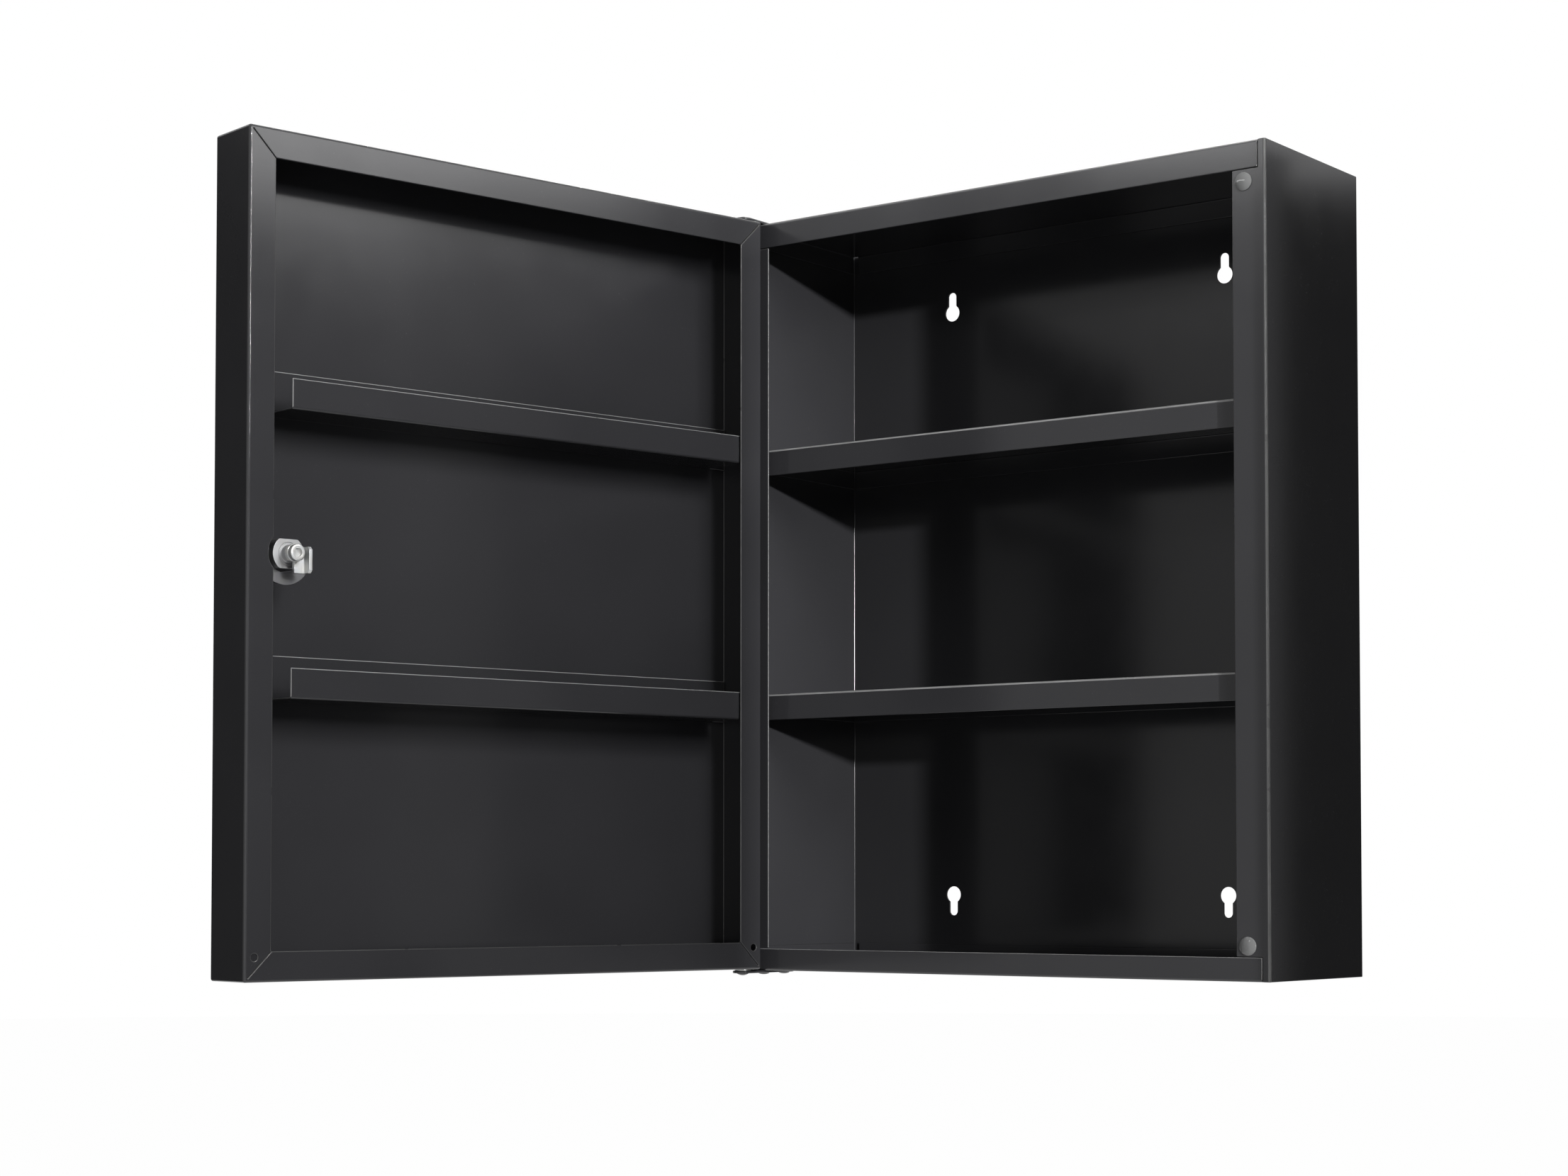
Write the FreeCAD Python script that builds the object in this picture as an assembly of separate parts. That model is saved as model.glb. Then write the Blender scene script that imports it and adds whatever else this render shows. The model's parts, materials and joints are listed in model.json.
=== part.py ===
import FreeCAD, Part
import math
import os

# Mirrored medicine cabinet: a folded sheet-steel wall case, a door pan hinged on its left side, a lock.
# Millimetres. X runs to the right, Y to the wall, Z up. The origin is the middle of the back face.
# The door is made shut and then swung open to its resting angle.

V = FreeCAD.Vector

# Sheet metal
sheet = 1.0
bend = 0.6
seam = 0.4
weld_gap = 0.1
overrun = 5.0

# Case
case_width = 350.0
case_height = 450.0
case_depth = 110.0
left_flange = 16.0
right_flange = 20.0
corner_strip = 4.5
top_lip = 15.0
top_weld_flange = 12.0
bottom_lip = 13.0
bottom_weld_flange = 14.4

# Shelves
shelf_lip = 15.5
shelf_setback = 5.0
shelf_weld_flange = 12.0
top_bay = 122.0
middle_bay = 132.0

# Keyholes in the back
keyhole_inset_x = 80.0
keyhole_shift_x = -4.0
keyhole_inset_z = 45.0
keyhole_head = 10.0
keyhole_slot = 5.4
keyhole_travel = 10.0

# Door pan
door_depth = 35.0
door_gap = 2.0
door_end_gap = 1.0
door_flange = 16.0
door_edge_radius = 1.5
drain_hole = 4.0
drain_hole_inset = 6.0
drain_hole_height = 13.0
rest_opening_degrees = 102.0

# Door racks
rack_depth = 32.0
rack_lip = 16.5
rack_back = 25.0
rack_hinge_end = 14.0
rack_latch_end = 28.0
rack_side_gap = 0.4
upper_rack_height = 302.0
lower_rack_height = 149.0

# Mirror on the door's outer face
mirror_margin_x = 40.0
mirror_margin_z = 40.0
mirror_glass = 3.0
mirror_bevel = 0.8
tape_thickness = 0.8
tape_width = 25.0
tape_inset = 24.0
tape_count = 3

# Hinge
pivot_inset = 6.0
pivot_depth = 10.0
pivot_diameter = 4.0
pivot_clearance = 0.05
pivot_head = 7.6
pivot_head_height = 1.3
pivot_clinch = 6.4
pivot_clinch_height = 1.0
pivot_clinch_gap = 0.3
hinge_plate_width = 12.0
hinge_plate_thickness = 1.5
washer_diameter = 10.0
washer_gap = 0.2
rivet_setback = 8.5
rivet_pitch = 20.0
rivet_diameter = 3.6
rivet_head = 7.0
rivet_head_height = 1.2
rivet_clinch = 5.6
rivet_clinch_height = 0.9

# Bumpers on the right front flange
bumper_diameter = 10.0
bumper_rim = 0.6
bumper_height = 1.7
bumper_inset = 13.0
bumper_top_drop = 22.0
bumper_bottom_rise = 19.0

# Lock
lock_inset = 25.0
barrel_diameter = 19.0
barrel_flats = 15.6
barrel_hole_gap = 0.1
barrel_notch_gap = 2.6
escutcheon_diameter = 23.0
escutcheon_height = 2.4
escutcheon_round = 1.0
nut_across_flats = 24.0
nut_thickness = 5.0
nut_chamfer_degrees = 30.0
clip_diameter = 32.0
clip_thickness = 1.2
clip_setback = 4.0
clip_rise = 3.0
plug_diameter = 12.0
plug_clearance = 0.05
plug_proud = 0.6
plug_collar = 9.2
keyway_width = 1.8
keyway_height = 8.0
keyway_depth = 22.0
wafer_count = 5
wafer_pitch = 3.2
wafer_setback = 6.0
wafer_thickness = 1.0
wafer_gap = 0.05
wafer_width_share = 0.42
wafer_height_share = 0.86
wafer_window_share = 0.5
shank_square = 5.0
shank_gap = 0.1
cam_gap = 0.6
cam_thickness = 2.0
cam_width = 14.0
cam_reach = 8.0
cam_drop = 3.5
cam_tail = 4.7
cam_tab = 5.0
cam_corner = 1.6
cam_bend = 1.0
cam_rest_degrees = 0.0
cam_washer_diameter = 9.4
cam_washer_thickness = 0.8
screw_diameter = 4.0
screw_length = 8.0
screw_head = 9.0
screw_head_height = 3.4
screw_recess = 4.6
screw_recess_depth = 1.8

# Places worked out from the sizes
half_width = case_width / 2
half_height = case_height / 2
left_x = -half_width
right_x = half_width
front_y = -case_depth
bend_outside = bend + sheet
upper_shelf_z = half_height - top_lip - top_bay
lower_shelf_z = upper_shelf_z - shelf_lip - middle_bay
door_height = case_height - 2 * door_end_gap
door_half = door_height / 2
door_back_y = front_y - door_gap
door_front_y = door_back_y - door_depth
door_panel_y = door_front_y + sheet
pivot_x = left_x + pivot_inset
pivot_y = door_back_y - pivot_depth
pivot_radius = pivot_diameter / 2
rivet_ys = [front_y + rivet_setback + i * rivet_pitch for i in range(2)]
lock_x = right_x - lock_inset
barrel_radius = barrel_diameter / 2
flange_back_y = front_y + sheet
cam_y = flange_back_y + cam_gap

X_AXIS = V(1, 0, 0)
Y_AXIS = V(0, 1, 0)
Z_AXIS = V(0, 0, 1)
PIVOT = V(pivot_x, pivot_y, 0)


def save(name, shape):
    """Writes one node, a single solid or a group of separate ones."""
    assert shape.isValid(), name
    assert all(s.Volume > 0 for s in shape.Solids), name
    shape.exportStep("parts/" + name + ".step")


def box(low, high):
    """A box between two corners."""
    return Part.makeBox(high[0] - low[0], high[1] - low[1], high[2] - low[2], V(*low))


def rod(diameter, start, end):
    """A round bar between two points."""
    axis = V(*end) - V(*start)
    return Part.makeCylinder(diameter / 2, axis.Length, V(*start), axis)


def dome(diameter, height, base, direction):
    """A low rounded head that stands on base and points along direction."""
    radius = diameter / 2
    ball = (radius ** 2 + height ** 2) / (2 * height)
    half = math.asin(radius / ball) / 2
    rim = V(radius, 0, 0)
    top = V(0, 0, height)
    middle = V(ball * math.sin(half), 0, height - ball + ball * math.cos(half))
    foot = V(0, 0, 0)
    edges = [Part.makeLine(foot, rim), Part.Arc(rim, middle, top).toShape(), Part.makeLine(top, foot)]
    cap = Part.Face(Part.Wire(edges)).revolve(foot, Z_AXIS, 360)
    cap.Placement = FreeCAD.Placement(V(*base), FreeCAD.Rotation(Z_AXIS, V(*direction)))
    return cap


def rounded_line(points, radii):
    """Edges along a flat path of points, with an arc of the given radius at each inner corner."""
    edges = []
    start = points[0]
    for i in range(1, len(points) - 1):
        corner = points[i]
        back = (points[i - 1] - corner).normalize()
        ahead = (points[i + 1] - corner).normalize()
        half = back.getAngle(ahead) / 2
        reach = radii[i - 1] / math.tan(half)
        inward = (back + ahead).normalize()
        centre = corner + inward * (radii[i - 1] / math.sin(half))
        arc = [corner + back * reach, centre - inward * radii[i - 1], corner + ahead * reach]
        edges.append(Part.makeLine(start, arc[0]))
        edges.append(Part.Arc(*arc).toShape())
        start = arc[2]
    edges.append(Part.makeLine(start, points[-1]))
    return edges


def folded(points, thickness, radius, sweep):
    """Sheet whose outer face follows points, all its bends turning the same way, run along sweep."""
    legs = [(points[i + 1] - points[i]).normalize() for i in range(len(points) - 1)]
    inside = math.copysign(1, legs[0].cross(sweep).dot(legs[1]))
    normals = [leg.cross(sweep).normalize() * inside for leg in legs]
    inner = [points[0] + normals[0] * thickness]
    for i in range(1, len(points) - 1):
        both = normals[i - 1] + normals[i]
        share = thickness / (1 + normals[i - 1].dot(normals[i]))
        inner.append(points[i] + both * share)
    inner.append(points[-1] + normals[-1] * thickness)
    bends = len(points) - 2
    edges = rounded_line(points, [radius + thickness] * bends)
    edges.append(Part.makeLine(points[-1], inner[-1]))
    edges += rounded_line(inner[::-1], [radius] * bends)
    edges.append(Part.makeLine(inner[0], points[0]))
    return Part.Face(Part.Wire(Part.__sortEdges__(edges))).extrude(sweep)


def joined(shapes):
    """One solid from shapes that share faces or overlap."""
    whole = shapes[0].multiFuse(shapes[1:])
    return whole.removeSplitter()


def opened(shape):
    """A door piece made in the shut door, swung to the resting angle."""
    swung = shape.copy()
    swung.rotate(PIVOT, Z_AXIS, -rest_opening_degrees)
    return swung


def turned(shape):
    """A piece of the lock's core, turned to its resting angle and swung with the door."""
    spun = shape.copy()
    spun.rotate(V(lock_x, 0, 0), Y_AXIS, -cam_rest_degrees)
    return opened(spun)


def keyhole(side, level):
    """Cutter for one keyhole, its slot pointing away from the middle of the back."""
    x = keyhole_shift_x + side * (half_width - keyhole_inset_x)
    z = level * (half_height - keyhole_inset_z)
    end = z + level * keyhole_travel
    low = V(x - keyhole_slot / 2, -overrun, min(z, end))
    slot = Part.makeBox(keyhole_slot, 2 * overrun, keyhole_travel, low)
    head = rod(keyhole_head, (x, -overrun, z), (x, overrun, z))
    tip = rod(keyhole_slot, (x, -overrun, end), (x, overrun, end))
    return head.multiFuse([slot, tip])


def case_wrap():
    """Left side, back and right side in one sheet, with front flanges notched for the two lips."""
    path = [
        V(left_x + left_flange, front_y, -half_height),
        V(left_x, front_y, -half_height),
        V(left_x, 0, -half_height),
        V(right_x, 0, -half_height),
        V(right_x, front_y, -half_height),
        V(right_x - right_flange, front_y, -half_height),
    ]
    wrap = folded(path, sheet, bend, V(0, 0, case_height))
    notch_x = half_width - corner_strip
    notch_front = front_y - overrun
    notch_back = flange_back_y + bend
    top_low = half_height - top_lip - seam
    top_notch = box((-notch_x, notch_front, top_low), (notch_x, notch_back, half_height + overrun))
    bottom_high = bottom_lip + seam - half_height
    bottom_low = -half_height - overrun
    bottom_notch = box((-notch_x, notch_front, bottom_low), (notch_x, notch_back, bottom_high))
    keyholes = [keyhole(side, level) for side in (-1, 1) for level in (-1, 1)]
    return wrap.cut([top_notch, bottom_notch] + keyholes)


def tray(face_z, lip_way, lip_y, lip_half, lip, weld):
    """Level panel with a front lip, and low flanges at its sides and back that are welded to the wrap."""
    side_x = half_width - sheet - weld_gap
    back_y = -sheet - weld_gap
    lip_z = face_z + lip_way * lip
    weld_z = face_z + lip_way * weld
    path = [
        V(-lip_half, lip_y, lip_z),
        V(-lip_half, lip_y, face_z),
        V(-lip_half, back_y, face_z),
        V(-lip_half, back_y, weld_z),
    ]
    pieces = [folded(path, sheet, bend, V(2 * lip_half, 0, 0))]
    side_front = lip_y + bend_outside + seam
    side_back = back_y - bend_outside - seam
    for side in (-1, 1):
        path = [
            V(side * (lip_half - bend_outside), side_front, face_z),
            V(side * side_x, side_front, face_z),
            V(side * side_x, side_front, weld_z),
        ]
        pieces.append(folded(path, sheet, bend, V(0, side_back - side_front, 0)))
    return joined(pieces)


def hinge_holes(shape):
    """A top or bottom panel with the holes for its two hinge rivets."""
    tall = half_height + overrun
    return shape.cut([rod(rivet_diameter, (pivot_x, y, -tall), (pivot_x, y, tall)) for y in rivet_ys])


def end_tray(way, lip, weld):
    """The top of the case for way 1, its bottom for way -1."""
    lip_half = half_width - corner_strip - seam
    return hinge_holes(tray(way * half_height, -way, front_y, lip_half, lip, weld))


def shelf(face_z):
    """A fixed shelf, its lip just behind the front flanges."""
    lip_half = half_width - sheet - weld_gap - bend_outside
    return tray(face_z, -1, front_y + shelf_setback, lip_half, shelf_lip, shelf_weld_flange)


def hinge_plate(way):
    """Flat strip with round ends, riveted on the case's top or bottom and reaching out over the door."""
    low = min(way * half_height, way * (half_height + hinge_plate_thickness))
    half = hinge_plate_width / 2
    high = low + hinge_plate_thickness
    bar = box((pivot_x - half, pivot_y, low), (pivot_x + half, rivet_ys[-1], high))
    ends = [rod(hinge_plate_width, (pivot_x, y, low), (pivot_x, y, high)) for y in (pivot_y, rivet_ys[-1])]
    holes = [rod(pivot_diameter, (pivot_x, pivot_y, low), (pivot_x, pivot_y, high))]
    holes += [rod(rivet_diameter, (pivot_x, y, low), (pivot_x, y, high)) for y in rivet_ys]
    return joined([bar] + ends).cut(holes)


def hinge_rivet(way, y):
    """A rivet that holds a hinge plate on its panel, domed outside and clinched inside."""
    outer = way * (half_height + hinge_plate_thickness)
    inner = way * (half_height - sheet)
    shank = rod(rivet_diameter, (pivot_x, y, inner), (pivot_x, y, outer))
    head = dome(rivet_head, rivet_head_height, (pivot_x, y, outer), (0, 0, way))
    clinch = rod(rivet_clinch, (pivot_x, y, inner), (pivot_x, y, inner - way * rivet_clinch_height))
    return joined([shank, head, clinch])


def hinge_pivot(way):
    """The pin that the door turns on, fast in its plate and clinched loosely inside the door."""
    outer = way * (half_height + hinge_plate_thickness)
    clinch_z = way * (door_half - sheet - pivot_clinch_gap)
    shank = rod(pivot_diameter, (pivot_x, pivot_y, clinch_z), (pivot_x, pivot_y, outer))
    head = dome(pivot_head, pivot_head_height, (pivot_x, pivot_y, outer), (0, 0, way))
    clinch_end = clinch_z - way * pivot_clinch_height
    clinch = rod(pivot_clinch, (pivot_x, pivot_y, clinch_z), (pivot_x, pivot_y, clinch_end))
    return joined([shank, head, clinch])


def hinge_washer(way):
    """Slip washer between a hinge plate and the door."""
    outer = way * half_height
    inner = way * (door_half + washer_gap)
    ring = rod(washer_diameter, (pivot_x, pivot_y, inner), (pivot_x, pivot_y, outer))
    hole = rod(pivot_diameter + 2 * pivot_clearance, (pivot_x, pivot_y, inner), (pivot_x, pivot_y, outer))
    return ring.cut(hole)


def bumper(z):
    """Clear stick-on dome that the shut door meets."""
    x = right_x - bumper_inset
    rim = rod(bumper_diameter, (x, front_y, z), (x, front_y - bumper_rim, z))
    crown = dome(bumper_diameter, bumper_height - bumper_rim, (x, front_y - bumper_rim, z), (0, -1, 0))
    return joined([rim, crown])


def barrel_section(diameter, flats, start_y, end_y):
    """Round bar along Y with two level flats, as the lock's barrel and its hole have."""
    bar = rod(diameter, (lock_x, start_y, 0), (lock_x, end_y, 0))
    half = diameter / 2
    slab = box((lock_x - half, start_y, -flats / 2), (lock_x + half, end_y, flats / 2))
    return bar.common(slab)


def mitre_cut(side, level):
    """Cutter for the seam where two door flanges meet at 45 degrees."""
    run = math.hypot(door_flange, door_flange) - 2 * door_edge_radius
    start = V(side * (half_width - door_flange), door_back_y, level * (door_half - door_flange))
    groove = box((-seam, -sheet / 2, -seam / 2), (run, sheet, seam / 2))
    turn = math.degrees(math.atan2(level, side))
    groove.rotate(V(0, 0, 0), Y_AXIS, -turn)
    groove.translate(start)
    return groove


def door_pan():
    """Front panel, four walls and mitred inner flanges folded from one sheet."""
    outer = box((left_x, door_front_y, -door_half), (right_x, door_back_y, door_half))
    outer = outer.makeFillet(door_edge_radius, outer.Edges)
    low = (left_x + sheet, door_panel_y, -door_half + sheet)
    cavity = box(low, (right_x - sheet, door_back_y - sheet, door_half - sheet))
    window_x = half_width - door_flange
    window_z = door_half - door_flange
    window = box((-window_x, door_panel_y, -window_z), (window_x, door_back_y + overrun, window_z))
    cuts = [cavity, window]
    cuts += [mitre_cut(side, level) for side in (-1, 1) for level in (-1, 1)]
    hole_z = -door_half + drain_hole_height
    for x in (left_x + drain_hole_inset, right_x - drain_hole_inset):
        cuts.append(rod(drain_hole, (x, door_back_y - 2 * sheet, hole_z), (x, door_back_y + overrun, hole_z)))
    notch = barrel_diameter + 2 * barrel_notch_gap
    cuts.append(rod(notch, (lock_x, door_back_y - 2 * sheet, 0), (lock_x, door_back_y + overrun, 0)))
    hole = barrel_diameter + 2 * barrel_hole_gap
    flats = barrel_flats + 2 * barrel_hole_gap
    cuts.append(barrel_section(hole, flats, door_front_y - overrun, door_panel_y + overrun))
    bore = pivot_diameter + 2 * pivot_clearance
    cuts.append(rod(bore, (pivot_x, pivot_y, -half_height), (pivot_x, pivot_y, half_height)))
    return outer.cut(cuts)


def rack(height):
    """Narrow tray across the door, its floor standing out from the back plate to a low front lip."""
    floor_z = -half_height + height
    lip_y = door_panel_y + rack_depth
    start = left_x + rack_hinge_end
    length = case_width - rack_hinge_end - rack_latch_end
    path = [
        V(start, door_panel_y + sheet, floor_z),
        V(start, lip_y, floor_z),
        V(start, lip_y, floor_z + rack_lip),
    ]
    return folded(path, sheet, bend, V(length, 0, 0))


def rack_plate(height):
    """Back plate of a rack, over the full width of the door panel."""
    floor_z = -half_height + height
    half = half_width - sheet - rack_side_gap
    low = (-half, door_panel_y, floor_z)
    return box(low, (half, door_panel_y + sheet, floor_z + rack_back))


def mirror_pane():
    """Silvered glass on the door's front, its front edges bevelled."""
    half_x = half_width - mirror_margin_x
    half_z = door_half - mirror_margin_z
    back = door_front_y - tape_thickness
    front = back - mirror_glass
    pane = box((-half_x, front, -half_z), (half_x, back, half_z))
    edges = [e for e in pane.Edges if all(abs(v.Point.y - front) < mirror_bevel for v in e.Vertexes)]
    return pane.makeChamfer(mirror_bevel, edges)


def mirror_tape():
    """Upright strips of foam tape between the door and the glass."""
    reach_x = half_width - mirror_margin_x - tape_inset
    reach_z = door_half - mirror_margin_z - tape_inset
    pitch = (2 * reach_x - tape_width) / (tape_count - 1)
    strips = []
    for i in range(tape_count):
        low_x = -reach_x + i * pitch
        low = (low_x, door_front_y - tape_thickness, -reach_z)
        strips.append(box(low, (low_x + tape_width, door_front_y, reach_z)))
    return Part.makeCompound(strips)


def lock_barrel():
    """Fixed body of the lock, with its round front flange."""
    body = barrel_section(barrel_diameter, barrel_flats, door_front_y, door_back_y)
    front = door_front_y - escutcheon_height
    rim = rod(escutcheon_diameter, (lock_x, front, 0), (lock_x, door_front_y, 0))
    edges = [e for e in rim.Edges if abs(e.BoundBox.YMax - front) < escutcheon_round / 2]
    rim = rim.makeFillet(escutcheon_round, edges)
    bore = rod(plug_diameter + 2 * plug_clearance, (lock_x, front - overrun, 0), (lock_x, door_back_y, 0))
    return joined([body, rim]).cut(bore)


def lock_nut():
    """Hexagon nut that pulls the barrel tight against the door panel."""
    corner = nut_across_flats / 2 / math.cos(math.radians(30))
    points = []
    for i in range(7):
        angle = math.radians(60 * i)
        points.append(V(lock_x + corner * math.cos(angle), door_panel_y, corner * math.sin(angle)))
    hexagon = Part.Face(Part.makePolygon(points)).extrude(V(0, nut_thickness, 0))
    slope = math.tan(math.radians(nut_chamfer_degrees))
    cone_height = nut_thickness + nut_across_flats / 2 * slope
    cone = Part.makeCone(cone_height / slope, 0, cone_height, V(lock_x, door_panel_y, 0), Y_AXIS)
    bore = barrel_diameter + 2 * barrel_hole_gap
    hole = rod(bore, (lock_x, door_panel_y, 0), (lock_x, door_panel_y + nut_thickness, 0))
    return hexagon.common(cone).cut(hole)


def lock_clip():
    """Horseshoe clip round the barrel near its rear end, its closed end downward."""
    back = door_back_y - clip_setback
    front = back - clip_thickness
    half = clip_diameter / 2
    disc = rod(clip_diameter, (lock_x, front, 0), (lock_x, back, 0))
    bore = rod(barrel_diameter + 2 * barrel_hole_gap, (lock_x, front, 0), (lock_x, back, 0))
    mouth = box((lock_x - half, front, clip_rise), (lock_x + half, back, half))
    return disc.cut([bore, mouth])


def wafer_blank(i, gap):
    """One wafer of the lock without its window, or with a gap all round the slot it slides in."""
    half_x = plug_diameter * wafer_width_share / 2 + gap
    half_z = plug_diameter * wafer_height_share / 2 + gap
    y = door_front_y - escutcheon_height + wafer_setback + i * wafer_pitch
    half_y = wafer_thickness / 2 + gap
    return box((lock_x - half_x, y - half_y, -half_z), (lock_x + half_x, y + half_y, half_z))


def lock_wafers():
    """The wafers that the key lifts, each with a window that the key passes through."""
    half_x = plug_diameter * wafer_width_share * wafer_window_share / 2
    half_z = plug_diameter * wafer_height_share * wafer_window_share / 2
    window = box((lock_x - half_x, door_front_y - overrun, -half_z), (lock_x + half_x, door_back_y, half_z))
    return Part.makeCompound([wafer_blank(i, 0).cut(window) for i in range(wafer_count)])


def lock_plug():
    """Turning core of the lock, with a keyway in front and a collar and square shank behind."""
    front = door_front_y - escutcheon_height - plug_proud
    core = rod(plug_diameter, (lock_x, front, 0), (lock_x, door_back_y, 0))
    collar = rod(plug_collar, (lock_x, door_back_y, 0), (lock_x, cam_y, 0))
    half = shank_square / 2
    shank = box((lock_x - half, cam_y, -half), (lock_x + half, cam_y + cam_thickness, half))
    low = (lock_x - keyway_width / 2, front - overrun, -keyway_height / 2)
    keyway = box(low, (lock_x + keyway_width / 2, front + keyway_depth, keyway_height / 2))
    end = cam_y + cam_thickness
    tapped = rod(screw_diameter, (lock_x, end - screw_length, 0), (lock_x, end, 0))
    slots = [wafer_blank(i, wafer_gap) for i in range(wafer_count)]
    return joined([core, collar, shank]).cut([keyway, tapped] + slots)


def lock_cam():
    """Latch plate on the shank, set low, its end folded back into the case with its corners cut off."""
    tip = lock_x - cam_reach
    low = -cam_width / 2 - cam_drop
    tab_y = cam_y + cam_thickness + cam_tab
    path = [V(lock_x, cam_y, low), V(tip, cam_y, low), V(tip, tab_y, low)]
    plate = folded(path, cam_thickness, cam_bend, V(0, 0, cam_width))
    ends = [e for e in plate.Edges if e.BoundBox.YMin > tab_y - cam_corner / 2]
    plate = plate.makeChamfer(cam_corner, [e for e in ends if e.BoundBox.ZLength < cam_corner / 2])
    tail = rod(2 * cam_tail, (lock_x, cam_y, 0), (lock_x, cam_y + cam_thickness, 0))
    side = shank_square / 2 + shank_gap
    hole = box((lock_x - side, cam_y, -side), (lock_x + side, cam_y + cam_thickness, side))
    return joined([plate, tail]).cut(hole)


def cam_washer():
    """Washer under the head of the cam screw."""
    start = (lock_x, cam_y + cam_thickness, 0)
    end = (lock_x, cam_y + cam_thickness + cam_washer_thickness, 0)
    return rod(cam_washer_diameter, start, end).cut(rod(screw_diameter, start, end))


def cam_screw():
    """Pan-head screw that holds the cam, with a round socket in its head."""
    seat = cam_y + cam_thickness + cam_washer_thickness
    top = seat + screw_head_height
    shank_end = cam_y + cam_thickness - screw_length
    shank = rod(screw_diameter, (lock_x, shank_end, 0), (lock_x, seat, 0))
    head = rod(screw_head, (lock_x, seat, 0), (lock_x, top, 0))
    edges = [e for e in head.Edges if abs(e.BoundBox.YMin - top) < screw_recess_depth / 2]
    head = head.makeFillet(screw_recess_depth / 2, edges)
    recess = rod(screw_recess, (lock_x, top - screw_recess_depth, 0), (lock_x, top, 0))
    return joined([shank, head]).cut(recess)


os.makedirs("parts", exist_ok=True)

save("case_wrap", case_wrap())
save("top_tray", end_tray(1, top_lip, top_weld_flange))
save("bottom_tray", end_tray(-1, bottom_lip, bottom_weld_flange))
save("upper_shelf", shelf(upper_shelf_z))
save("lower_shelf", shelf(lower_shelf_z))
for name, way in (("top", 1), ("bottom", -1)):
    save(name + "_hinge_plate", hinge_plate(way))
    save(name + "_hinge_pivot", hinge_pivot(way))
    save(name + "_hinge_washer", hinge_washer(way))
save("hinge_rivets", Part.makeCompound([hinge_rivet(way, y) for way in (1, -1) for y in rivet_ys]))
save("upper_bumper", bumper(half_height - bumper_top_drop))
save("lower_bumper", bumper(-half_height + bumper_bottom_rise))

save("door_pan", opened(door_pan()))
for name, height in (("upper_rack", upper_rack_height), ("lower_rack", lower_rack_height)):
    save(name, opened(rack(height)))
    save(name + "_plate", opened(rack_plate(height)))
save("mirror_pane", opened(mirror_pane()))
save("mirror_tape", opened(mirror_tape()))
save("lock_barrel", opened(lock_barrel()))
save("lock_nut", opened(lock_nut()))
save("lock_clip", opened(lock_clip()))

save("lock_plug", turned(lock_plug()))
save("lock_wafers", turned(lock_wafers()))
save("lock_cam", turned(lock_cam()))
save("cam_washer", turned(cam_washer()))
save("cam_screw", turned(cam_screw()))
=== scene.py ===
import json
import math

import bmesh
import bpy
from mathutils import Matrix, Vector

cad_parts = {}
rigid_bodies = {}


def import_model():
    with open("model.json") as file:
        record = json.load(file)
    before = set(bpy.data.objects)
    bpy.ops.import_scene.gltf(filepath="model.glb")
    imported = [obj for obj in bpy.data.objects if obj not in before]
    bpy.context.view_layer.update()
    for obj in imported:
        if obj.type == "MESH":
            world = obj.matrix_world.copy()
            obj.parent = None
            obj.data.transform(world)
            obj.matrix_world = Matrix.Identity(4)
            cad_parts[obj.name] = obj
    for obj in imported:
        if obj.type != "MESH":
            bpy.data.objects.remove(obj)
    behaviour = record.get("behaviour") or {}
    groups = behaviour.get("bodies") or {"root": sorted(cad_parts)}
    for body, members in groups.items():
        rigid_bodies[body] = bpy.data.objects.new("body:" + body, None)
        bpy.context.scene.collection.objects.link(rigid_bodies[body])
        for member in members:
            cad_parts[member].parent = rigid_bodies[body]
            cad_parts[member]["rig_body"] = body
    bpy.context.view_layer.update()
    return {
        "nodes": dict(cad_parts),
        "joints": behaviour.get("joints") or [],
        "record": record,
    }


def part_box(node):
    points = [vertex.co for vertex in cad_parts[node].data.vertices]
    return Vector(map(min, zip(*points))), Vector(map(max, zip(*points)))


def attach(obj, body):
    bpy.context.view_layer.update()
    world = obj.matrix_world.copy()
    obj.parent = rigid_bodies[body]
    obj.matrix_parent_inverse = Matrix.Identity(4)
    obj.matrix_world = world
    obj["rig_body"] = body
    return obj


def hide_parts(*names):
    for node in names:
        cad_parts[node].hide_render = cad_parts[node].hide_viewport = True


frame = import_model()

bl_info = {
    "name": "Mirrored medicine cabinet",
    "version": (1, 0, 0),
    "blender": (4, 5, 0),
    "location": "3D View > Sidebar > Cabinet",
    "description": "Finishes a packed sheet-steel wall cabinet: paint, hinges, mirror, lock and studio",
    "category": "Object",
}

MM = 0.001
UP = Vector((0, 0, 1))
nodes = frame["nodes"]
finishes = {entry["slot"]: entry["base_color"] for entry in frame["record"]["materials"]}
node_slots = {entry["node"]: entry["material_slot"] for entry in frame["record"]["subparts"]}
lock_turn = next(joint for joint in frame["joints"] if joint["name"] == "lock_turn")
door_front = Vector(lock_turn["axis"])

# Widths of the small rounded edges
WASHER_EDGE = 0.15 * MM
BUMPER_EDGE = 0.12 * MM
TAPE_EDGE = 0.1 * MM
LOCK_EDGE = 0.18 * MM
WAFER_EDGE = 0.06 * MM

# Which faces count as edges, bends and undersides, in degrees or as parts of a face's direction
EDGE_ANGLE = 40.0
FLAT_ANGLE = 0.6
CREASE_ANGLE = 35.0
# The painted edge highlight goes on bends that face partly forward and stays off undersides, which are in shade
FRONT_BEND = (-0.97, -0.2)
UNDERSIDE = -0.2

# Rivets
CASE_SHEET = 1.0 * MM
CLINCH_HEIGHT = 0.9 * MM
RIVET_SIDES = 32
RIVET_RINGS = 20

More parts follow.
